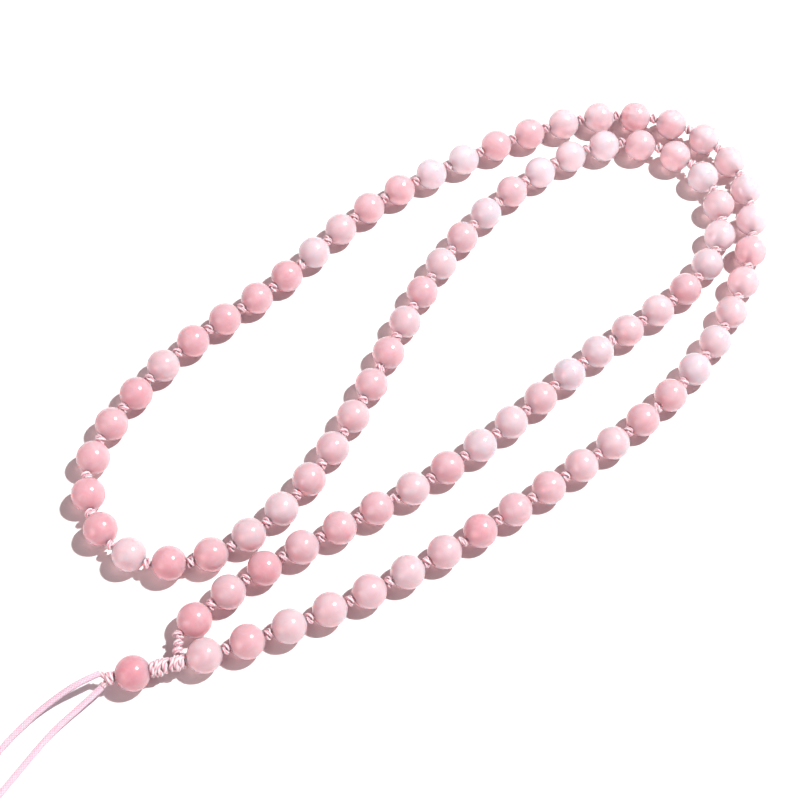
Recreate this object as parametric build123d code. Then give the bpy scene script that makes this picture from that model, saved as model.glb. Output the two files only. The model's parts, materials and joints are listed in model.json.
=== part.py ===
"""A hand-knotted mala: 86 round stone beads in a closed loop, a knot between every two, and a guru
bead where the two ends of the cord meet. From the guru bead's end knot two tails lie free.

The loop lies flat in the shape it was put down in, a long narrow band bent into a horseshoe.
+X runs along the loop to the bight, the bend of the horseshoe. +Z is up. The beads rest on Z = 0,
and the origin is under the middle of the box round everything but the tails.

The cord holds the beads all the way, so it is straight inside each bead and turns at the knots.
Four knot pairs are folds: the loop bends there about the line through both knots.
"""
from build123d import *
import math
import os

os.makedirs("parts", exist_ok=True)

# ---------------------------------------------------------------- driving dimensions, mm
BEAD_D = 8.0          # every bead, the guru bead too
BEADS = 86            # beads in the loop
STRAND_D = 1.0        # cord inside the loop's beads
BORE_GAP = 0.08       # running gap between a bead's bore and the cord in it
PAIR_GAP = 0.1        # between the two cords side by side in the guru bead
KNOT_L = 1.6          # a knot along the strand
KNOT_W = 2.8          # a knot across the strand
KNOT_PLAY = 0.1       # from a bead's pole to the knot beside it
FOLD_GAP = 0.08       # from a knot that turns to the cord that starts beside it
GATHER_D = 3.8        # ball knot that gathers the two ends of the loop
WRAP_D = 4.2          # a wrap of the snake-knot column
WRAP_L = 1.6          # a wrap along the column
WRAP_PITCH = 1.15     # from one wrap to the next
WRAPS = 3             # wraps in the column
WRAP_SLANT = 14.0     # degrees that each wrap leans
END_KNOT_D = 3.4      # knot that closes the guru bead, across
END_KNOT_L = 2.0      # and along
END_KNOT_ROUND = 0.6  # rounding of its edges
TAIL_D = 1.5          # braided tail cord
TAIL_SPREAD = 2.9     # between the two tails where they leave the end knot
STOPPER_D = 3.6       # knot near each tail's tip, across
STOPPER_L = 4.0       # and along
TIP_L = 5.0           # sealed tip beyond that knot
TIP_D = 1.1           # and across, drawn in where the cord was sealed and rolled
GURU_HEADING = 153.0  # degrees from +X: the way the column and the guru bead point

PITCH = BEAD_D + KNOT_L + 2 * KNOT_PLAY  # from knot to knot
BEAD_R = BEAD_D / 2
REST = BEAD_R                            # height of the strand over the surface
UP = Vector(0, 0, 1)

# The loop's course in bead pitches, from the gathering knot out along the inner strand, round the
# bight, back to the lobe, and home along the outer strand. The beads set the real size of it.
ROUTE = [
    (-9.7, -1.8), (-7.6, -1.7), (-5.85, -1.95), (-2.8, -2.45), (0.2, -2.55), (3.3, -2.45),
    (6.3, -2.5), (8.0, -1.7), (8.6, -0.8), (8.75, 0.15), (7.8, 1.95), (6.15, 2.55),
    (3.9, 2.6), (1.1, 1.95), (-1.75, 0.65), (-4.55, -0.5), (-7.55, -0.8), (-9.1, -0.05),
    (-9.6, 1.05), (-9.5, 2.0), (-8.85, 3.05), (-7.4, 3.8), (-5.05, 4.3), (-2.1, 4.3),
    (0.8, 4.65), (3.7, 4.35), (6.5, 3.65), (8.35, 2.7), (9.55, 1.05), (9.55, -0.75),
    (8.4, -2.4), (6.8, -3.5), (3.9, -4.45), (0.75, -4.55), (-2.35, -4.3), (-5.3, -3.85),
    (-8.4, -3.0), (-10.0, -2.38),
]

# Folds: the two knots that each fold line runs through, counted from the start of the loop.
GURU_FOLD_1 = (13, 73)
GURU_FOLD_2 = (6, 79)
LOBE_FOLD_1 = (26, 56)
LOBE_FOLD_2 = (32, 51)
FOLDS = (GURU_FOLD_1, GURU_FOLD_2, LOBE_FOLD_1, LOBE_FOLD_2)

# Tails, each from the place where it leaves the end knot: a point is so far along -X, so far
# along +Y, and its underside is so far over the surface. LIFT is where the knot lies on it.
LIFT = (STOPPER_D - TAIL_D) / 2
UPPER_TAIL = [
    (3.1, 0.6, 4.2), (6.9, 1.5, 3.5), (11.7, 2.3, 1.8), (17.7, 2.5, 0.4), (26.3, 1.1, 0),
    (37.5, -2.4, 0), (52.5, -5.3, 0), (70.4, -5.8, LIFT), (88.2, -4.1, LIFT),
]
LOWER_TAIL = [
    (3.2, -0.1, 2.2), (7.8, -0.1, 1.1), (14.5, -0.5, 0.3), (23.4, -2.7, 0), (32.7, -5.2, 0),
    (44.7, -9.6, 0), (59.5, -13.9, 0), (77.2, -16.6, LIFT), (94.9, -17.9, LIFT),
]


# ---------------------------------------------------------------- where everything sits
def walk(curve, step):
    """Points a fixed chord apart along a sampled curve, and what is left of it after the last."""
    here, points, k = curve[0], [curve[0]], 1
    while len(points) <= BEADS:
        while k < len(curve) and (curve[k] - here).length < step:
            k += 1
        if k == len(curve):
            return points, len(points) - 1 - BEADS
        short, long = (curve[k - 1] - here).length, (curve[k] - here).length
        here = curve[k - 1] + (curve[k] - curve[k - 1]) * ((step - short) / (long - short))
        points.append(here)
    return points, len(curve) - k


def knot_places():
    """The loop's knots, one pitch apart, with the course scaled so that the beads just fill it."""
    course = Spline(*ROUTE)
    curve = [course @ (i / 6000) for i in range(6001)]
    low, high = 0.8, 1.2
    for _ in range(40):
        step = (low + high) / 2
        low, high = (step, high) if walk(curve, step)[1] > 0 else (low, step)
    return [Vector(p.X, p.Y, 0) * (PITCH / low) for p in walk(curve, low)[0]]


def heading(degrees):
    return Vector(math.cos(math.radians(degrees)), math.sin(math.radians(degrees)), 0)


def lay_out():
    """Every place that the pieces share, with the origin under the middle of the box."""
    knots = knot_places()
    beads = [(a + b) / 2 for a, b in zip(knots, knots[1:])]
    out = (knots[-1] - knots[-2]).normalized()
    gather = beads[-1] + out * (BEAD_R + KNOT_PLAY + GATHER_D / 2)
    guru_way = heading(GURU_HEADING)
    column = gather + guru_way * (GATHER_D / 2 + FOLD_GAP)
    column_l = (WRAPS - 1) * WRAP_PITCH + WRAP_L
    guru = column + guru_way * (column_l + KNOT_PLAY + BEAD_R)
    end_knot = guru + guru_way * (BEAD_R + KNOT_PLAY + END_KNOT_L / 2)
    edge = [(p, BEAD_R) for p in beads + [guru]] + [(end_knot, END_KNOT_D / 2)]
    x0, x1 = min(p.X - r for p, r in edge), max(p.X + r for p, r in edge)
    y0, y1 = min(p.Y - r for p, r in edge), max(p.Y + r for p, r in edge)
    move = Vector(-(x0 + x1) / 2, -(y0 + y1) / 2, REST)
    return [k + move for k in knots], [p + move for p in (gather, column, guru, end_knot)]


KNOTS, (GATHER, COLUMN, GURU, END_KNOT) = lay_out()
GURU_WAY = heading(GURU_HEADING)
WAYS = [(b - a).normalized() for a, b in zip(KNOTS, KNOTS[1:])]
CENTRES = [(a + b) / 2 for a, b in zip(KNOTS, KNOTS[1:])]


def along(point, way):
    """A place with its own Z along the strand and its own X up."""
    return Plane(origin=point, x_dir=UP, z_dir=way).location


def rod(a, b, diameter):
    """A round rod from one point to another."""
    way = b - a
    return along((a + b) / 2, way.normalized()) * Cylinder(diameter / 2, way.length)


# ---------------------------------------------------------------- beads
def bead(centre, way, bore_d):
    """A round bead, bored through."""
    ball = Sphere(BEAD_R) - Cylinder(bore_d / 2, BEAD_D + 1)
    return along(centre, way) * ball


def loop_bead(number):
    """Bead 1 is next to the gathering knot, on the inner strand."""
    return bead(CENTRES[number - 1], WAYS[number - 1], STRAND_D + 2 * BORE_GAP)


# ---------------------------------------------------------------- knots and strand cord
def lump(along_l, across_d):
    """A tied knot: an egg of revolution about its own Z, so long and so wide."""
    half = Ellipse(across_d / 2, along_l / 2) - Pos(-across_d, 0) * Rectangle(2 * across_d, 2 * along_l)
    return revolve(Plane.XZ * half, Axis.Z)


def strand_way(i):
    """The way that the strand runs past knot i: half way between its two beads."""
    return (WAYS[max(i - 1, 0)] + WAYS[min(i, BEADS - 1)]).normalized()


def plain_knot(i):
    return along(KNOTS[i], strand_way(i)) * lump(KNOT_L, KNOT_W)


def fold_way(fold):
    return (KNOTS[fold[1]] - KNOTS[fold[0]]).normalized()


def fold_knot(i):
    """A knot on a fold line lies along that line, so the cord beside it can turn round it."""
    fold = next(f for f in FOLDS if i in f)
    return along(KNOTS[i], fold_way(fold)) * lump(KNOT_W, KNOT_L)


def strand(first, last, start=None, end=None, has=()):
    """The cord from knot first to knot last, with the knots between them, as a list of solids to
    fuse. It is straight through each bead. has names the fold knots at its ends that are its own;
    beside any other fold knot it stops a gap short. start and end replace its outermost points."""
    tuck, clear = KNOT_L / 5, KNOT_L / 2 + FOLD_GAP
    solids = [plain_knot(i) for i in range(first + 1, last)]
    solids += [fold_knot(i) for i in (first, last) if i in has]
    for i in range(first, last):
        a = KNOTS[i] + WAYS[i] * (clear if i == first and i not in has else tuck)
        b = KNOTS[i + 1] - WAYS[i] * (clear if i + 1 == last and i + 1 not in has else tuck)
        a = start if start and i == first else a
        b = end if end and i + 1 == last else b
        solids.append(rod(a, b, STRAND_D))
    return solids


def inner_lead():
    """The inner strand from bead 1 to the gathering knot, with two knots close together. The cord
    goes in through the end of the far knot."""
    way = (KNOTS[0] - GATHER).normalized()
    far_way = (way + WAYS[0] * 2).normalized()
    reach = GATHER_D / 2 + FOLD_GAP
    near = along(GATHER + way * (reach + KNOT_L / 2), way) * lump(KNOT_L, KNOT_W)
    far = along(KNOTS[0], far_way) * lump(KNOT_L, KNOT_W)
    a, b = GATHER + way * (reach + KNOT_L / 3), KNOTS[0] - far_way * (KNOT_L * 0.4)
    return [near, far, rod(a, b + (b - a).normalized() * (KNOT_L / 5), STRAND_D)]


def joined(solids):
    return Part() + solids


def whole(solids):
    """Separate solids in one node."""
    return Compound(children=list(solids))


# ---------------------------------------------------------------- guru end
def gathering_knot():
    return Pos(*GATHER) * Sphere(GATHER_D / 2)


def guru_column():
    """The snake-knot column, slanting wraps that touch, and the two cords that go on from it
    through the guru bead, side by side, to the end knot's face."""
    across = UP.cross(GURU_WAY)
    solids = []
    for i in range(WRAPS):
        middle = COLUMN + GURU_WAY * (WRAP_L / 2 + i * WRAP_PITCH)
        lean = GURU_WAY.rotate(Axis.Z, WRAP_SLANT if 0 < i < WRAPS - 1 else 0)
        solids.append(along(middle, lean) * lump(WRAP_L, WRAP_D))
    face = END_KNOT - GURU_WAY * (END_KNOT_L / 2)
    for side in (-1, 1):
        aside = across * (side * (STRAND_D + PAIR_GAP) / 2)
        solids.append(rod(middle + aside, face + aside, STRAND_D))
    return joined(solids)


def guru_bead():
    return bead(GURU, GURU_WAY, 2 * STRAND_D + PAIR_GAP + 2 * BORE_GAP)


def end_knot():
    knot = Cylinder(END_KNOT_D / 2, END_KNOT_L)
    return along(END_KNOT, GURU_WAY) * fillet(knot.edges(), END_KNOT_ROUND)


# ---------------------------------------------------------------- tails
def tail_exit(side):
    """Where a tail leaves the end knot: a ball end just beyond it, the upper one a little higher."""
    out = GURU_WAY * (END_KNOT_L / 2 + FOLD_GAP + TAIL_D / 2)
    return END_KNOT + out + UP.cross(GURU_WAY) * (-side * TAIL_SPREAD / 2) + UP * (side * 0.4)


def tail_points(side, course):
    start = tail_exit(side)
    return [start] + [Vector(start.X - x, start.Y + y, TAIL_D / 2 + h) for x, y, h in course]


def tail_cord(name, points):
    """The tail as straight runs joined by arcs as large as the runs allow, with a ball at its
    start, about whose middle it swings, and a sealed tip at its end."""
    way = (points[-1] - points[-2]).normalized()
    course = points[:-1] + [points[-1] - way * TIP_L]
    radii = []
    for a, b, c in zip(course, course[1:], course[2:]):
        half_turn = math.radians((b - a).get_angle(c - b)) / 2
        radii.append(0.45 * min((b - a).length, (c - b).length) / math.tan(half_turn))
    path = FilletPolyline(*course, radius=radii)
    ring = Plane(origin=path @ 0, z_dir=path % 0) * Circle(TAIL_D / 2)
    tube = sweep(ring, path=path)
    section = math.pi * TAIL_D ** 2 / 4
    print(name, "length", round(path.length + TIP_L, 1), "smallest radius", round(min(radii), 1),
          "volume over section times length", round(tube.volume / (section * path.length), 4))
    tip = rod(course[-1] - way * (TIP_L / 5), points[-1], TIP_D)
    return tube + Pos(*points[0]) * Sphere(TAIL_D / 2) + tip


def stopper_knot(points):
    """The knot near the tip, tied round the cord that runs through it."""
    way = (points[-1] - points[-2]).normalized()
    knot = lump(STOPPER_L, STOPPER_D) - Cylinder(TAIL_D / 2, 2 * STOPPER_L)
    return along(points[-1] - way * (TIP_L + STOPPER_L / 2), way) * knot


# ---------------------------------------------------------------- the parts
SECTIONS = {
    "bight": [(GURU_FOLD_1[0], LOBE_FOLD_1[0]), (LOBE_FOLD_1[1], GURU_FOLD_1[1])],
    "guru_leg_middle": [(GURU_FOLD_2[0], GURU_FOLD_1[0]), (GURU_FOLD_1[1], GURU_FOLD_2[1])],
    "guru_leg_end": [(0, GURU_FOLD_2[0]), (GURU_FOLD_2[1], BEADS)],
    "lobe_leg_middle": [(LOBE_FOLD_1[0], LOBE_FOLD_2[0]), (LOBE_FOLD_2[1], LOBE_FOLD_1[1])],
    "lobe": [(LOBE_FOLD_2[0], LOBE_FOLD_2[1])],
}
OWN_FOLDS = {  # a fold's knots belong to the section nearer the bight
    "bight": GURU_FOLD_1 + LOBE_FOLD_1,
    "guru_leg_middle": GURU_FOLD_2,
    "lobe_leg_middle": LOBE_FOLD_2,
}
SINGLE = range(2, BEADS, 2)  # every second bead turns by itself, in a node of its own


def section_cords(name):
    """A section's cords: one solid for each of its two strands, or one round the lobe."""
    cords = []
    for first, last in SECTIONS[name]:
        start = end = None
        lead = []
        if first == 0:
            start, lead = KNOTS[0] + WAYS[0] * (KNOT_L / 5), inner_lead()
        if last == BEADS:
            end = CENTRES[-1] + WAYS[-1] * (BEAD_R + KNOT_PLAY - FOLD_GAP)
        cords.append(joined(lead + strand(first, last, start, end, OWN_FOLDS.get(name, ()))))
    return whole(solid for cord in cords for solid in cord.solids())


def section_beads(name):
    """Numbers of a section's beads: bead n lies between knots n - 1 and n."""
    return [n for first, last in SECTIONS[name] for n in range(first + 1, last + 1)]


def build():
    nodes = {}
    for name in SECTIONS:
        nodes[f"{name}_cord"] = section_cords(name)
        grouped = [n for n in section_beads(name) if n not in SINGLE]
        nodes[f"{name}_beads"] = whole(loop_bead(n) for n in grouped)
    for n in SINGLE:
        nodes[f"bead_{n:02d}"] = loop_bead(n)
    nodes["gathering_knot"] = gathering_knot()
    nodes["guru_column"] = guru_column()
    nodes["guru_bead"] = guru_bead()
    nodes["end_knot"] = end_knot()
    for name, side, course in (("upper_tail", 1, UPPER_TAIL), ("lower_tail", -1, LOWER_TAIL)):
        points = tail_points(side, course)
        nodes[f"{name}_cord"] = tail_cord(name, points)
        nodes[f"{name}_knot"] = stopper_knot(points)
    return nodes


for node, shape in build().items():
    export_step(shape, f"parts/{node}.step")
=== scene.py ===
"""Mala prayer beads: polished rose quartz beads on knotted satin cord, with two braided tails.

Every bead, knot, wrap and tail is a surface worked out on a grid and put where the part has it.
Sizes are in millimetres and become metres through MM.
"""
import bpy
import json
import numpy as np
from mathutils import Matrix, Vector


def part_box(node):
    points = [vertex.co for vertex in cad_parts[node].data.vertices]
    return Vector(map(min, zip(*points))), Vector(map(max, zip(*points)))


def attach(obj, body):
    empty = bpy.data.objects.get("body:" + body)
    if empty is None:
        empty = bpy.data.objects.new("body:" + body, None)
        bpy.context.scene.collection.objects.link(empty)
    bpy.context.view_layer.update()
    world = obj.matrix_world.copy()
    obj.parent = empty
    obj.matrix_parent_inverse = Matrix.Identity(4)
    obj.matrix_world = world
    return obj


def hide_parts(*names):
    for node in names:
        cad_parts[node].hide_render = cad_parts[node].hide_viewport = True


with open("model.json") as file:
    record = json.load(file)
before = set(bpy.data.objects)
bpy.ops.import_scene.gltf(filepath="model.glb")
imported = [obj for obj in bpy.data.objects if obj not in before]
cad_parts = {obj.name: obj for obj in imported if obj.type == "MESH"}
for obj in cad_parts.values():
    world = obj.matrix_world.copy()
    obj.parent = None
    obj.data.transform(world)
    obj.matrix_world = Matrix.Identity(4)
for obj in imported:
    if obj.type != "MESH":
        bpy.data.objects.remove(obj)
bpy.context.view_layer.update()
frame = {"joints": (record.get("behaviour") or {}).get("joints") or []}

MM = 0.001
UP = np.array([0.0, 0.0, 1.0])
rng = np.random.default_rng(86)

# ---------------------------------------------------------------- sizes, as in the part
BEAD_R = 4.0 * MM
BEADS = 86
BORE_R = 0.58 * MM
GURU_BORE_R = 1.13 * MM
PITCH = 9.8 * MM
KNOT_HALF_L, KNOT_HALF_W = 0.8 * MM, 1.4 * MM
STRAND_R = 0.5 * MM
TAIL_R = 0.75 * MM
TIP_R, TIP_L = 0.55 * MM, 5.0 * MM
STOPPER_L = 4.0 * MM

# The loop's first knot and its last two, where the part's own route puts them: no turning bead
# gives these three.
FIRST_KNOT = np.array([-86.787, -17.912, 4.0]) * MM
LAST_KNOTS = np.array([[-80.634, -27.258, 4.0], [-89.717, -23.577, 4.0]]) * MM

# Folds: the two knots on each fold line, and each section's two stretches of the loop.
FOLDS = {13: 73, 73: 13, 6: 79, 79: 6, 26: 56, 56: 26, 32: 51, 51: 32}
SECTIONS = {
    "bight": [(13, 26), (56, 73)],
    "guru_leg_middle": [(6, 13), (73, 79)],
    "guru_leg_end": [(0, 6), (79, 86)],
    "lobe_leg_middle": [(26, 32), (51, 56)],
    "lobe": [(32, 51)],
}
OWN_FOLDS = {"bight": (13, 73, 26, 56), "guru_leg_middle": (6, 79), "lobe_leg_middle": (32, 51)}


# ---------------------------------------------------------------- camera
def aim_camera(target, azimuth, elevation, distance, view_degrees):
    """A camera that looks at target along the azimuth, from that elevation and that far away."""
    turn, tilt = np.radians(azimuth), np.radians(elevation)
    ahead = np.array([-np.sin(turn), np.cos(turn), 0.0])
    back = -ahead * np.cos(tilt) + UP * np.sin(tilt)
    right = np.cross(ahead, UP)
    place = np.eye(4)
    place[:3, 0], place[:3, 1], place[:3, 2] = right, np.cross(back, right), back
    place[:3, 3] = np.array(target) + back * distance
    lens = bpy.data.cameras.new("camera")
    lens.angle = np.radians(view_degrees)
    lens.clip_start, lens.clip_end = 0.01, 20.0
    camera = bpy.data.objects.new("camera", lens)
    bpy.context.scene.collection.objects.link(camera)
    camera.matrix_world = place.T.tolist()
    bpy.context.scene.camera = camera
    return place


aim_camera((-0.01082, -0.00365, 0.004), -40.01, 60.53, 0.37633, 28.62)


# ---------------------------------------------------------------- tails: the cords' own lines
UPPER_TAIL = np.array([
    [-105.145, -14.195, 4.4], [-108.245, -13.595, 4.95], [-112.045, -12.695, 4.25],
    [-116.845, -11.895, 2.55], [-122.845, -11.695, 1.15], [-131.445, -13.095, 0.75],
    [-142.645, -16.595, 0.75], [-157.645, -19.495, 0.75], [-175.545, -19.995, 1.8],
    [-193.345, -18.295, 1.8],
]) * MM
LOWER_TAIL = np.array([
    [-106.462, -16.779, 3.6], [-109.662, -16.879, 2.95], [-114.262, -16.879, 1.85],
    [-120.962, -17.279, 1.05], [-129.862, -19.479, 0.75], [-139.162, -21.979, 0.75],
    [-151.162, -26.379, 0.75], [-165.962, -30.679, 0.75], [-183.662, -33.379, 1.8],
    [-201.362, -34.679, 1.8],
]) * MM


def cord_line(points):
    """The smooth line that a cord follows: a NURBS spline with the route as its control points,
    read back as points."""
    curve = bpy.data.curves.new("line", "CURVE")
    curve.dimensions = "3D"
    spline = curve.splines.new("NURBS")
    spline.points.add(len(points) - 1)
    spline.points.foreach_set("co", np.c_[points, np.ones(len(points))].ravel())
    spline.order_u, spline.use_endpoint_u, spline.resolution_u = 3, True, 16
    holder = bpy.data.objects.new("line", curve)
    mesh = bpy.data.meshes.new_from_object(holder)
    line = np.zeros(len(mesh.vertices) * 3, np.float32)
    mesh.vertices.foreach_get("co", line)
    bpy.data.objects.remove(holder)
    bpy.data.curves.remove(curve)
    bpy.data.meshes.remove(mesh)
    return line.reshape(-1, 3).astype(float)


def unit(v):
    return v / np.linalg.norm(v, axis=-1, keepdims=True)


def lengths(line):
    """How far along the line each of its points is."""
    return np.r_[0, np.cumsum(np.linalg.norm(np.diff(line, axis=0), axis=1))]


def evenly(line, step):
    """The same line with its points a fixed step apart."""
    s = lengths(line)
    even = np.linspace(0, s[-1], int(s[-1] / step) + 1)
    return np.stack([np.interp(even, s, line[:, k]) for k in range(3)], 1)


# ---------------------------------------------------------------- surfaces and pieces
def patch(points, around, capped=False, closed=False, span=(1.0, 1.0), **layers):
    """A grid of points, shape (rows, columns, 3), whose columns run round and whose rows run
    along, closed on themselves or capped at both ends. Neighbours in the grid make the faces."""
    rows, columns = points.shape[:2]
    i, j = np.meshgrid(np.arange(rows if closed else rows - 1), np.arange(columns), indexing="ij")
    i, j = i.ravel(), j.ravel()
    i1, j1 = (i + 1) % rows, (j + 1) % columns
    quads = np.stack([i * columns + j, i * columns + j1, i1 * columns + j1, i1 * columns + j], 1)
    u = np.stack([i, i, i + 1, i + 1], 1) / (rows if closed else rows - 1) * span[0]
    v = np.stack([j, j + 1, j + 1, j], 1) / columns * span[1]
    uv = np.stack([u, v], 2)
    ends = [np.arange(columns)[::-1], (rows - 1) * columns + np.arange(columns)] if capped else []
    verts = points.reshape(-1, 3)
    a, b, c, d = (verts[quads[:, k]] for k in range(4))
    middle = verts.mean(0)
    volume = (np.cross(b - a, c - a) * (a - middle)).sum() + (np.cross(c - a, d - a) * (a - middle)).sum()
    if volume < 0:
        quads, uv, ends = quads[:, ::-1], uv[:, ::-1], [e[::-1] for e in ends]
    layers = {k: np.broadcast_to(x, (rows, columns)).ravel() for k, x in layers.items()}
    return {"verts": verts, "quads": quads, "uv": uv, "ends": ends, "layers": layers}


def piece(name, patches, material, body, slot, *nodes):
    """One object of those patches, riding on a body and standing for the CAD nodes."""
    starts = np.cumsum([0] + [len(p["verts"]) for p in patches])
    quads = np.concatenate([p["quads"] + s for p, s in zip(patches, starts)])
    ends = [e + s for p, s in zip(patches, starts) for e in p["ends"]]
    corners = np.concatenate([quads.ravel()] + ends)
    sizes = np.r_[np.full(len(quads), 4), [len(e) for e in ends]].astype(int)
    mesh = bpy.data.meshes.new(name)
    mesh.vertices.add(starts[-1])
    mesh.vertices.foreach_set("co", np.concatenate([p["verts"] for p in patches]).astype(np.float32).ravel())
    mesh.loops.add(len(corners))
    mesh.loops.foreach_set("vertex_index", corners.astype(np.int32))
    mesh.polygons.add(len(sizes))
    mesh.polygons.foreach_set("loop_start", np.r_[0, np.cumsum(sizes)[:-1]].astype(np.int32))
    uv = np.zeros((len(corners), 2), np.float32)
    uv[:quads.size] = np.concatenate([p["uv"] for p in patches]).reshape(-1, 2)
    mesh.uv_layers.new(name="UVMap").data.foreach_set("uv", uv.ravel())
    for layer in patches[0]["layers"]:
        values = np.concatenate([p["layers"][layer] for p in patches]).astype(np.float32)
        mesh.attributes.new(layer, "FLOAT", "POINT").data.foreach_set("value", values)
    mesh.update(calc_edges=True)
    mesh.validate()
    mesh.polygons.foreach_set("use_smooth", np.ones(len(mesh.polygons), bool))
    mesh.materials.append(material)
    thing = bpy.data.objects.new(name, mesh)
    bpy.context.scene.collection.objects.link(thing)
    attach(thing, body)
    if nodes:
        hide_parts(*nodes)
    return thing


# ---------------------------------------------------------------- materials
def linear(colour):
    """An sRGB hex value as linear red, green, blue and alpha."""
    c = np.array([int(colour[k:k + 2], 16) for k in (1, 3, 5)]) / 255
    c = np.where(c <= 0.04045, c / 12.92, ((c + 0.055) / 1.055) ** 2.4)
    return (*c.tolist(), 1.0)


def add(tree, kind, settings):
    """A node of that kind. Each setting is a link if it is another node's output, else a value."""
    node = tree.nodes.new("ShaderNode" + kind)
    for key, value in settings.items():
        if key == "stops":
            ramp = node.color_ramp.elements
            while len(ramp) < len(value):
                ramp.new(0.5)
            for stop, (place, colour) in zip(ramp, value):
                stop.position, stop.color = place, linear(colour)
            continue
        target = node.inputs[key] if isinstance(key, int) or key in node.inputs else None
        if target is None:
            setattr(node, key, value)
        elif isinstance(value, bpy.types.NodeSocket):
            tree.links.new(value, target)
        else:
            target.default_value = value
    return node


def new_material(name):
    material = bpy.data.materials.new(name)
    material.use_nodes = True
    material.node_tree.nodes.clear()
    return material, material.node_tree


def show(tree, shader):
    add(tree, "OutputMaterial", {"Surface": shader.outputs[0]})


def rose_quartz():
    """Rose quartz, tumbled and polished: a milky pink body that light goes into, paler clouds a
    few millimetres across, faint veins where old cracks healed, a rare rusty fleck, and a glossy
    skin with the slight waviness of hand polishing."""
    material, tree = new_material("polished rose quartz")
    place = add(tree, "TexCoord", {}).outputs["Object"]
    tone = add(tree, "Attribute", {"attribute_name": "tone"}).outputs["Fac"]
    cloud = add(tree, "TexNoise", {
        "Vector": place, "Scale": 330.0, "Detail": 3.0, "Roughness": 0.55, "Distortion": 0.6})
    clouds = add(tree, "MapRange", {"Value": cloud.outputs[0], 1: 0.3, 2: 0.7, 3: -0.07, 4: 0.07})
    mixed = add(tree, "Math", {"operation": "ADD", 0: tone, 1: clouds.outputs[0], "use_clamp": True})
    body = add(tree, "ValToRGB", {"Fac": mixed.outputs[0], "stops": [
        (0.0, "#FCDDE2"), (0.35, "#FACED3"), (0.65, "#F6BCC4"), (1.0, "#E8A7B2")]})
    crack = add(tree, "TexNoise", {"Vector": place, "Scale": 210.0, "Detail": 2.0, "Distortion": 1.6})
    middle = add(tree, "Math", {"operation": "SUBTRACT", 0: crack.outputs[0], 1: 0.5})
    off_middle = add(tree, "Math", {"operation": "ABSOLUTE", 0: middle.outputs[0]})
    vein = add(tree, "MapRange", {
        "Value": off_middle.outputs[0], 1: 0.0, 2: 0.09, 3: 0.1, 4: 0.0, "interpolation_type": "SMOOTHSTEP"})
    veined = add(tree, "Mix", {
        "data_type": "RGBA", 0: vein.outputs[0], 6: body.outputs[0], 7: linear("#FCEBEF")})
    speck = add(tree, "TexNoise", {"Vector": place, "Scale": 520.0, "Detail": 3.0, "Roughness": 0.7})
    fleck = add(tree, "MapRange", {"Value": speck.outputs[0], 1: 0.755, 2: 0.8, 3: 0.0, 4: 0.6})
    stained = add(tree, "Mix", {
        "data_type": "RGBA", 0: fleck.outputs[0], 6: veined.outputs[2], 7: linear("#B0645A")})
    wave = add(tree, "TexNoise", {"Vector": place, "Scale": 900.0, "Detail": 1.0})
    skin = add(tree, "Bump", {"Height": wave.outputs[0], "Strength": 0.06, "Distance": 0.00015})
    stone = add(tree, "BsdfPrincipled", {
        "Base Color": stained.outputs[2], "Roughness": 0.2, "IOR": 1.54, "Normal": skin.outputs[0],
        "Transmission Weight": 0.4,
        "Subsurface Weight": 1.0, "Subsurface Radius": (1.0, 0.6, 0.55), "Subsurface Scale": 0.008,
        "Subsurface Anisotropy": 0.9})
    show(tree, stone)
    return material


def satin_cord(name, painted_highlight_crest, mid, painted_shade_groove, thread_mm):
    """Satin cord of braided polyester filament: threads that run round the strand on a slant, crowns
    painted nearly white as a painted highlight of the gloss, and painted shade, deep pink, where
    strands press together. Where a tail's end was sealed with a flame the filament has run together,
    smooth and darker. thread_mm is the spacing of the threads drawn, coarser than real filament so that it
    shows."""
    material, tree = new_material(name)
    across = add(tree, "UVMap", {"uv_map": "UVMap"}).outputs[0]
    rise = add(tree, "Attribute", {"attribute_name": "rise"}).outputs["Fac"]
    slant = add(tree, "Mapping", {"Vector": across, "Rotation": (0.0, 0.0, 0.62)})
    thread = add(tree, "TexWave", {"Vector": slant.outputs[0], "Scale": 0.314 / thread_mm, "Distortion": 0.8,
                                   "Detail": 1.0, "Detail Scale": 2.0})
    wear = add(tree, "TexNoise", {
        "Vector": add(tree, "TexCoord", {}).outputs["Object"], "Scale": 900.0, "Detail": 2.0})
    # shade adds the thread lines to rise, the height on the plies, which carries the painted shade in the
    # grooves and the painted highlight on the crowns
    shade = add(tree, "Math", {"operation": "MULTIPLY_ADD", 0: thread.outputs["Fac"], 1: 0.22, 2: rise})
    wear_and_painted_shade = add(tree, "Math", {"operation": "MULTIPLY_ADD", 0: wear.outputs[0], 1: 0.3, 2: shade.outputs[0]})
    # Painted light: the ramp's low end is painted shade, deep pink in the grooves, and its high end is a
    # near-white painted highlight on the crowns; the wear noise shifts it at random
    tint = add(tree, "ValToRGB", {"Fac": add(tree, "MapRange", {
        "Value": wear_and_painted_shade.outputs[0], 1: 0.15, 2: 1.35, 3: 0.0, 4: 1.0}).outputs[0],
        "stops": [(0.0, painted_shade_groove), (0.5, mid), (1.0, painted_highlight_crest)]})
    melted = add(tree, "Attribute", {"attribute_name": "melted"}).outputs["Fac"]
    sealed = add(tree, "Mix", {"data_type": "RGBA", 0: melted, 6: tint.outputs[0], 7: linear("#D98CA4")})
    relief = add(tree, "Bump", {"Height": thread.outputs["Fac"], "Strength": 1.0, "Distance": 0.00009})
    satin = add(tree, "BsdfPrincipled", {
        "Base Color": sealed.outputs[2], "Roughness": 0.34, "Normal": relief.outputs[0], "Sheen Weight": 0.35,
        "Sheen Roughness": 0.4, "Subsurface Weight": 0.35, "Subsurface Radius": (1.0, 0.45, 0.5),
        "Subsurface Scale": 0.0005, "Specular IOR Level": 0.7})
    show(tree, satin)
    return material


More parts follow.
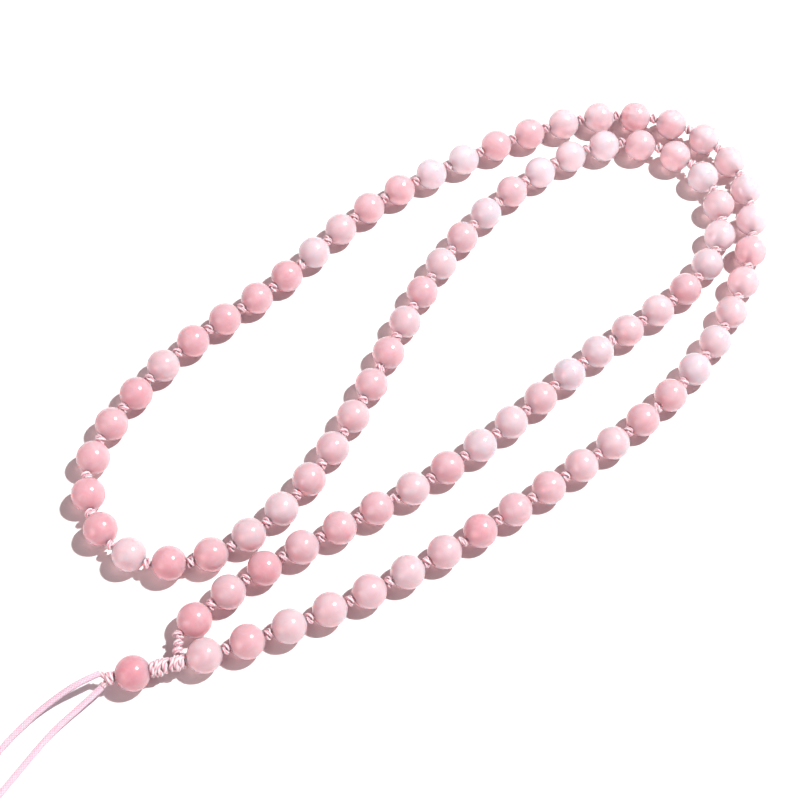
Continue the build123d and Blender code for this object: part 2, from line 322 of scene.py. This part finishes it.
def white_card():
    """Matt white card, the surface that the beads lie on: even, with no gloss."""
    material, tree = new_material("matt white card")
    grain = add(tree, "TexNoise", {
        "Vector": add(tree, "TexCoord", {}).outputs["Object"], "Scale": 400.0, "Detail": 2.0})
    tint = add(tree, "ValToRGB", {"Fac": grain.outputs[0], "stops": [(0.3, "#F4F2F3"), (0.7, "#F7F6F7")]})
    show(tree, add(tree, "BsdfPrincipled", {
        "Base Color": tint.outputs[0], "Roughness": 0.9, "Specular IOR Level": 0.1}))
    return material


QUARTZ = rose_quartz()
# For each cord the first colour is the crowns' near-white painted highlight, the second the cord's own pink,
# the third the grooves' deep pink painted shade
KNOT_SATIN = satin_cord("knotted satin cord", "#FFF8F8", "#FCD8E1", "#DC6F90", 0.2)
TAIL_SATIN = satin_cord("braided satin tail cord", "#FBEDF5", "#EDC1D8", "#B06E93", 0.22)


# ---------------------------------------------------------------- beads
def polished_bead(centre, way, bore_r, tone):
    """A ball revolved about its bore: out along the ball from one mouth to the other, round the
    softened lip of the mouth, and back along the bore's wall. The ball's radius dips by up to half
    a hundredth, as a slow wave round it, where hand polishing has left it a little out of true."""
    lip = 0.14 * MM
    first = np.arcsin((bore_r + lip) / BEAD_R)
    ball = np.linspace(first, np.pi - first, 34)
    a, r = -BEAD_R * np.cos(ball), BEAD_R * np.sin(ball)
    bend = np.linspace(0, np.pi / 2, 4)[1:]
    mouth = a[-1]
    a = np.r_[a, mouth - lip * 0.7 * (1 - np.cos(bend)), [0.0],
              -(mouth - lip * 0.7 * (1 - np.cos(bend[::-1])))]
    r = np.r_[r, bore_r + lip * (1 - np.sin(bend)), [bore_r], bore_r + lip * (1 - np.sin(bend[::-1]))]
    turn = np.arange(56) / 56 * 2 * np.pi
    wave, start = rng.uniform(0, 2 * np.pi, 2)
    true = 1 - 0.0025 * (1 + np.sin(2 * turn[None] + wave) * np.sin(3 * a[:, None] / BEAD_R + start))
    beside = unit(np.cross(UP, way))
    over = np.cross(way, beside)
    ring = beside * np.cos(turn)[:, None] + over * np.sin(turn)[:, None]
    points = centre + (a[:, None, None] * way + r[:, None, None] * ring[None]) * true[..., None]
    return patch(points, 56, closed=True, tone=tone)


def bead_tone(number):
    """How deep the pink of that bead is: 0.46, plus 0.12 times a cosine that goes twice round the loop
    and is highest at the guru end and at the lobe's tip, plus a random part as stones vary."""
    sorting = 0.12 * np.cos(4 * np.pi * number / BEADS)
    return float(np.clip(0.46 + sorting + rng.uniform(-0.2, 0.2), 0.02, 1.0))


joints = {j["name"]: j for j in frame["joints"]}
turning = {n: joints[f"bead_{n:02d}_spin"] for n in range(2, BEADS, 2)}
knots = np.zeros((BEADS + 1, 3))
for n, joint in turning.items():
    middle, way = np.array(joint["pos_m"]), unit(np.array(joint["axis"]))
    knots[n - 1], knots[n] = middle - way * PITCH / 2, middle + way * PITCH / 2
knots[0], knots[BEADS - 1], knots[BEADS] = FIRST_KNOT, LAST_KNOTS[0], LAST_KNOTS[1]
ways = unit(np.diff(knots, axis=0))
centres = (knots[1:] + knots[:-1]) / 2

for section, stretches in SECTIONS.items():
    numbers = [n for first, last in stretches for n in range(first + 1, last + 1)]
    shapes = {n: polished_bead(centres[n - 1], ways[n - 1], BORE_R, bead_tone(n)) for n in numbers}
    for n in numbers:
        if n in turning:
            piece(f"quartz_bead_{n:02d}", [shapes[n]], QUARTZ, f"bead_{n:02d}",
                  "rose_quartz", f"bead_{n:02d}")
    piece(f"{section}_quartz_beads", [shapes[n] for n in numbers if n not in turning], QUARTZ, section,
          "rose_quartz", f"{section}_beads")

guru_at, guru_way = (np.array(joints["guru_bead_spin"][k]) for k in ("pos_m", "axis"))
piece("guru_quartz_bead", [polished_bead(guru_at, guru_way, GURU_BORE_R, 0.9)], QUARTZ, "guru_bead",
      "rose_quartz", "guru_bead")


# ---------------------------------------------------------------- cord: strands, knots and wraps
def cord_tube(line, reference, half_w, half_t, closed, plies=3, lay=1.5 * MM, depth=0.1, around=12,
              capped=True):
    """A twisted cord along a line: at each point an oval, half_w to each side and half_t towards
    the reference, square to the line, whose radius swells by depth times the cosine of plies
    turns that wind once round in every lay."""
    ahead = np.roll(line, -1, 0) - np.roll(line, 1, 0) if closed else np.gradient(line, axis=0)
    ahead = unit(ahead)
    side = unit(np.cross(ahead, reference))
    out = np.cross(side, ahead)
    s = lengths(line)
    whole = s[-1] + (np.linalg.norm(line[0] - line[-1]) if closed else 0)
    twist = max(1, round(whole / lay)) / whole
    turn = np.arange(around) / around * 2 * np.pi
    swell = np.cos(plies * turn[None] - 2 * np.pi * s[:, None] * twist)
    radius = 1 + depth * (swell - 1)
    points = line[:, None] + radius[..., None] * (
        out[:, None] * (half_t * np.cos(turn))[None, :, None]
        + side[:, None] * (half_w * np.sin(turn))[None, :, None])
    # The rise layer, high on the plies' crowns and low between them, is what the cord material turns into
    # painted highlight and painted shade
    return patch(points, around, capped=capped and not closed, closed=closed,
                 span=(whole / MM, 2 * np.pi * half_w / MM), rise=0.5 + 0.5 * swell)


def tied_knot(centre, axis, half_l, half_w, cord_w, cord_t, turns=2, folds=3, start=0.0, steps=84):
    """A knot drawn tight: a closed winding on a ring about its axis. As t goes once round, the
    cord goes turns times round the axis, its distance from it swells with cos(folds t) and its
    place along it runs with sin(folds t). It fills half_l along the axis and half_w across."""
    t = np.arange(steps) / steps * 2 * np.pi
    first = unit(np.cross(axis, UP) if abs(axis[2]) < 0.9 else np.cross(axis, [1.0, 0.0, 0.0]))
    second = np.cross(axis, first)
    angle = turns * t + start
    spoke = first * np.cos(angle)[:, None] + second * np.sin(angle)[:, None]
    swing = (half_w - cord_t) / 2 * 0.56
    middle = half_w - cord_t - swing
    reach = half_l - cord_t
    line = (centre + spoke * (middle + swing * np.cos(folds * t))[:, None]
            + axis * (reach * np.sin(folds * t))[:, None])
    reference = spoke * np.cos(folds * t)[:, None] + axis * np.sin(folds * t)[:, None]
    return cord_tube(line, reference, cord_w, cord_t, closed=True)


def wrap(centre, axis, radius, lean, cord_w, cord_t, start=0.0):
    """One wrap of a snake knot: a ring of cord about the axis that leans, so that its place along
    the axis runs with lean times the cosine, and dips twice round where its neighbours nest."""
    t = np.arange(60) / 60 * 2 * np.pi
    first = UP
    second = np.cross(axis, first)
    spoke = first * np.cos(t)[:, None] + second * np.sin(t)[:, None]
    line = (centre + spoke * (radius * (1 + 0.05 * np.cos(2 * t + start)))[:, None]
            + axis * (lean * np.cos(t + 0.9) + 0.16 * MM * np.sin(3 * t + start))[:, None])
    return cord_tube(line, spoke, cord_w, cord_t, closed=True)


def straight(a, b, radius=STRAND_R, steps=16, **more):
    line = a + (b - a) * np.linspace(0, 1, steps)[:, None]
    return cord_tube(line, np.tile(UP, (steps, 1)), radius, radius, closed=False, **more)


def loop_knot(i):
    """Knot i: square to the strand, or along the fold line for the knots that a fold runs through."""
    if i in FOLDS:
        way = unit(knots[FOLDS[i]] - knots[i])
        return tied_knot(knots[i], way, KNOT_HALF_W, KNOT_HALF_L, 0.42 * MM, 0.33 * MM,
                         start=rng.uniform(0, 6.28))
    way = unit(ways[max(i - 1, 0)] + ways[min(i, BEADS - 1)])
    return tied_knot(knots[i], way, KNOT_HALF_L * 1.1, KNOT_HALF_W, 0.46 * MM, 0.36 * MM,
                     start=rng.uniform(0, 6.28))


gather_low, gather_high = (np.array(c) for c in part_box("gathering_knot"))
gather = (gather_low + gather_high) / 2
GATHER_R = (gather_high[2] - gather_low[2]) / 2
gap, tuck = 0.08 * MM, 0.32 * MM

for section, stretches in SECTIONS.items():
    own = OWN_FOLDS.get(section, ())
    cords = []
    for first, last in stretches:
        cords += [loop_knot(i) for i in range(first + 1, last)]
        cords += [loop_knot(i) for i in (first, last) if i in own]
        for i in range(first, last):
            a = knots[i] + ways[i] * (KNOT_HALF_L + gap if i == first and i not in own and i else tuck)
            b = knots[i + 1] - ways[i] * (KNOT_HALF_L + gap if i + 1 == last and i + 1 not in own else tuck)
            if i + 1 == BEADS:
                b = centres[-1] + ways[-1] * (BEAD_R + 0.02 * MM)
            cords.append(straight(a, b, STRAND_R * 0.98))
    if stretches[0][0] == 0:
        way = unit(knots[0] - gather)
        near = gather + way * (GATHER_R + gap + KNOT_HALF_L)
        cords.append(tied_knot(near, way, KNOT_HALF_L, KNOT_HALF_W, 0.46 * MM, 0.36 * MM, start=0.7))
        cords.append(tied_knot(knots[0], unit(way + ways[0] * 2), KNOT_HALF_L * 1.1, KNOT_HALF_W,
                               0.46 * MM, 0.36 * MM, start=2.2))
        cords.append(tied_knot((near + knots[0]) / 2, way, KNOT_HALF_L, KNOT_HALF_W * 0.86,
                               0.44 * MM, 0.36 * MM, start=4.1))
        cords.append(straight(near + way * 0.3 * MM, knots[0] - way * tuck))
    piece(f"{section}_satin_knots", cords, KNOT_SATIN, section, "knotted_satin_cord", f"{section}_cord")

# The gathering knot: three snug wraps over a core, the last of the snake knot.
core = straight(gather - guru_way * (GATHER_R - 0.5 * MM),
                gather + guru_way * (GATHER_R - 0.4 * MM), 1.1 * MM)
snug = [wrap(gather + guru_way * at, guru_way, radius, 0.32 * MM, 0.58 * MM, 0.44 * MM, start)
        for at, radius, start in (
            (-0.9 * MM, 1.08 * MM, 0.4), (0.0, 1.4 * MM, 2.5), (1.1 * MM, 1.14 * MM, 4.4))]
piece("gathering_wraps", [core] + snug, KNOT_SATIN, "gathering_knot", "knotted_satin_cord", "gathering_knot")

# The snake-knot column up to the guru bead, and the two cords that go on through the bead.
column = gather + guru_way * (GATHER_R + gap)
wraps = [wrap(column + guru_way * at, guru_way, radius, 0.5 * MM, 0.56 * MM, 0.5 * MM, start)
         for at, radius, start in ((0.62 * MM, 1.4 * MM, 0.9), (1.72 * MM, 1.58 * MM, 3.0),
                                   (2.5 * MM, 1.6 * MM, 5.0), (3.3 * MM, 1.56 * MM, 1.2))]
beside = np.cross(UP, guru_way)
face = guru_at + guru_way * (BEAD_R + 0.1 * MM)
pair = [straight(column + guru_way * 3.0 * MM + beside * side * 0.55 * MM, face + beside * side * 0.55 * MM)
        for side in (-1, 1)]
inner = straight(column + guru_way * 0.3 * MM, column + guru_way * 3.6 * MM, 1.15 * MM)
piece("snake_knot_column", wraps + pair + [inner], KNOT_SATIN, "guru_end",
      "knotted_satin_cord", "guru_column")

# The end knot: a bigger winding, three times round, with a core.
end_low, end_high = (np.array(c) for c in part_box("end_knot"))
end_at = (end_low + end_high) / 2
stubs = [straight(end_at + guru_way * 0.2 * MM, end_at + (route[0] - end_at) * 0.96, TAIL_R * 0.97, around=20,
                  plies=6, lay=4.2 * MM) for route in (UPPER_TAIL, LOWER_TAIL)]
piece("guru_end_knot", [
    tied_knot(end_at, guru_way, 1.0 * MM, 1.68 * MM, 0.52 * MM, 0.42 * MM, turns=3, folds=4,
              start=0.5, steps=140),
    straight(end_at - guru_way * 0.9 * MM, end_at + guru_way * 0.8 * MM, 0.8 * MM),
] + stubs, KNOT_SATIN, "guru_end", "knotted_satin_cord", "end_knot")


# ---------------------------------------------------------------- braided tails
def braided_tail(line, radius, carriers=6, pitch=4.2 * MM, depth=0.13 * MM, around=40, step=0.11 * MM):
    """A round braid. With u and v the number of strands passed going round one way and the other,
    a strand's crown is the half circle over its width, and it goes over and under its crossings
    with the cosine of pi times the other count. The radius is the higher of the two crowns. Over
    the last few millimetres the strands run together, the cord draws in, and its end is rounded."""
    line = evenly(line, step)
    s = lengths(line)[:, None]
    left = s[-1] - s
    melted = np.clip((TIP_L - left) / (0.6 * MM), 0, 1)
    turn = (np.arange(around) / around)[None]
    u, v = carriers * (turn - s / pitch), carriers * (turn + s / pitch)
    crown = lambda x: np.sqrt(np.clip(1 - (2 * (x % 1) - 1) ** 2, 0, 1))
    one = crown(u) * (0.62 + 0.38 * np.cos(np.pi * (v - 0.5 + np.floor(u))))
    other = crown(v) * (0.62 - 0.38 * np.cos(np.pi * (u - 0.5 + np.floor(v))))
    rise = np.maximum(one, other)
    ahead = unit(np.gradient(line, axis=0))
    side = unit(np.cross(ahead, UP))
    out = np.cross(side, ahead)
    lumps = 0.02 * MM * np.sin(6 * np.pi * turn + s / MM * 2.1)
    r = (radius - depth * (1 - rise)) * (1 - melted) + (TIP_R - 0.02 * MM + lumps) * melted
    r = r * np.sqrt(np.clip(1 - (1 - np.clip(left / (0.5 * MM), 0, 1)) ** 2, 0.0012, 1))
    angle = turn * 2 * np.pi
    points = line[:, None] + r[..., None] * (
        out[:, None] * np.cos(angle)[..., None] + side[:, None] * np.sin(angle)[..., None])
    # The rise layer, high on the strands' crowns and low where they cross under, is what the tail cord
    # material turns into painted highlight and painted shade
    return patch(points, around, capped=True, span=(s[-1, 0] / MM, 2 * np.pi * radius / MM),
                 rise=rise, melted=melted)


for name, route in (("upper_tail", UPPER_TAIL), ("lower_tail", LOWER_TAIL)):
    line = cord_line(route)
    tail = piece(f"{name}_braid", [braided_tail(line, TAIL_R)], TAIL_SATIN, name,
                 "braided_tail_cord", f"{name}_cord")
    way = unit(route[-1] - route[-2])
    middle = route[-1] - way * (TIP_L + STOPPER_L / 2)
    knot = piece(f"{name}_stopper_knot", [
        tied_knot(middle, way, STOPPER_L / 2, 1.8 * MM, 0.6 * MM, 0.5 * MM, turns=2, folds=3,
                  start=0.4, steps=110),
        straight(middle - way * 1.5 * MM, middle + way * 1.5 * MM, 1.0 * MM),
    ], KNOT_SATIN, name, "braided_tail_cord", f"{name}_knot")


# ---------------------------------------------------------------- floor, light and camera's sky
def lay_floor(half):
    """A flat square of card under the beads, its top at height nought."""
    mesh = bpy.data.meshes.new("floor")
    mesh.from_pydata([(-half, -half, 0), (half, -half, 0), (half, half, 0), (-half, half, 0)],
                     [], [(0, 1, 2, 3)])
    mesh.materials.append(white_card())
    floor = bpy.data.objects.new("floor", mesh)
    bpy.context.scene.collection.objects.link(floor)


def lamp(name, kind, towards, distance, energy, size, colour):
    """A lamp that far out in the direction towards, facing the middle of the beads."""
    light = bpy.data.lights.new(name, kind)
    light.energy, light.color = energy, linear(colour)[:3]
    light.shape, light.size = "DISK", size
    thing = bpy.data.objects.new(name, light)
    bpy.context.scene.collection.objects.link(thing)
    away = unit(np.array(towards, float))
    side = unit(np.cross(UP, away))
    place = np.eye(4)
    place[:3, 0], place[:3, 1], place[:3, 2] = side, np.cross(away, side), away
    place[:3, 3] = away * distance
    thing.matrix_world = place.T.tolist()


lay_floor(3.0)
lamp("key lamp", "AREA", (0.6, -0.19, 1.0), 1.6, 42.0, 0.1, "#FFFDFA")
lamp("soft fill lamp", "AREA", (-1.0, 0.06, 0.4), 1.6, 12.0, 1.2, "#FFE9E6")
world = bpy.data.worlds.new("pale room")
bpy.context.scene.world = world
world.use_nodes = True
world.node_tree.nodes["Background"].inputs["Color"].default_value = linear("#F4DFE8")
world.node_tree.nodes["Background"].inputs["Strength"].default_value = 0.17
bpy.context.scene.view_settings.view_transform = "Standard"
